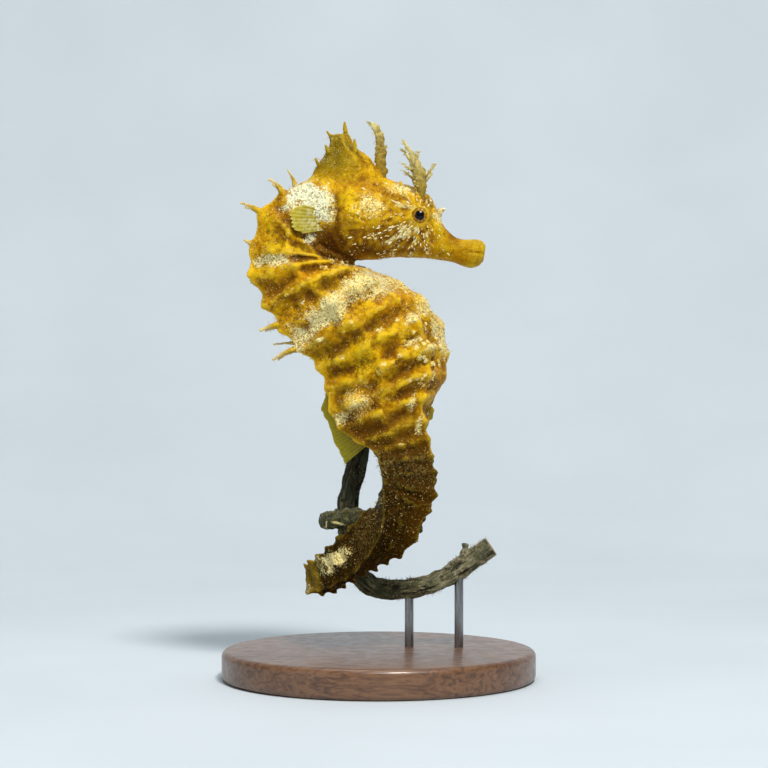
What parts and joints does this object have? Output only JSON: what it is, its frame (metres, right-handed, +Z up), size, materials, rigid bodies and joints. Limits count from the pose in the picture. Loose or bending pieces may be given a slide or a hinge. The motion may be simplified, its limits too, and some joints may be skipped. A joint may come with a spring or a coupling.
{
  "type": "seahorse",
  "caption": "Life-size still model of a short-snouted seahorse with bent neck and coiled tail gripping a cut stem, held by two rods on a round flat base.",
  "frame": {"origin": "on the underside of the stand's base, below the middle of the animal", "axes": "+Z up, +X the way the animal faces, -Y the animal's right side"},
  "size_m": [0.042, 0.042, 0.0745],
  "materials": {
    "skin": "bony ringed skin, golden yellow with white speckles, satin",
    "tail_skin": "bony ringed skin, olive brown, satin",
    "fin": "thin yellow-green membrane over fine rays",
    "eye": "glossy, gold streaked iris with a black pupil",
    "bark": "grey-green fibrous bark, matte",
    "stand_wood": "oiled dark wood, satin",
    "stand_metal": "brushed steel"
  },
  "bodies": {
    "root": {"snout": "skin", "head": "skin", "neck": "skin", "trunk_upper": "skin", "trunk_middle": "skin", "trunk_lower": "skin", "tail_1": "tail_skin", "tail_2": "tail_skin", "tail_3": "tail_skin", "tail_4": "tail_skin", "tail_5": "tail_skin", "tail_6": "tail_skin", "coronet": "skin", "crown_filament": "skin", "brow_filament_right": "skin", "brow_filament_left": "skin", "eye_right": "eye", "eye_left": "eye", "fin_pectoral_right": "fin", "fin_pectoral_left": "fin", "fin_dorsal": "fin", "fin_anal": "fin", "perch_upright": "bark", "perch_branch": "bark", "stand_base": "stand_wood", "stand_rod_1": "stand_metal", "stand_rod_2": "stand_metal"}
  },
  "joints": []
}
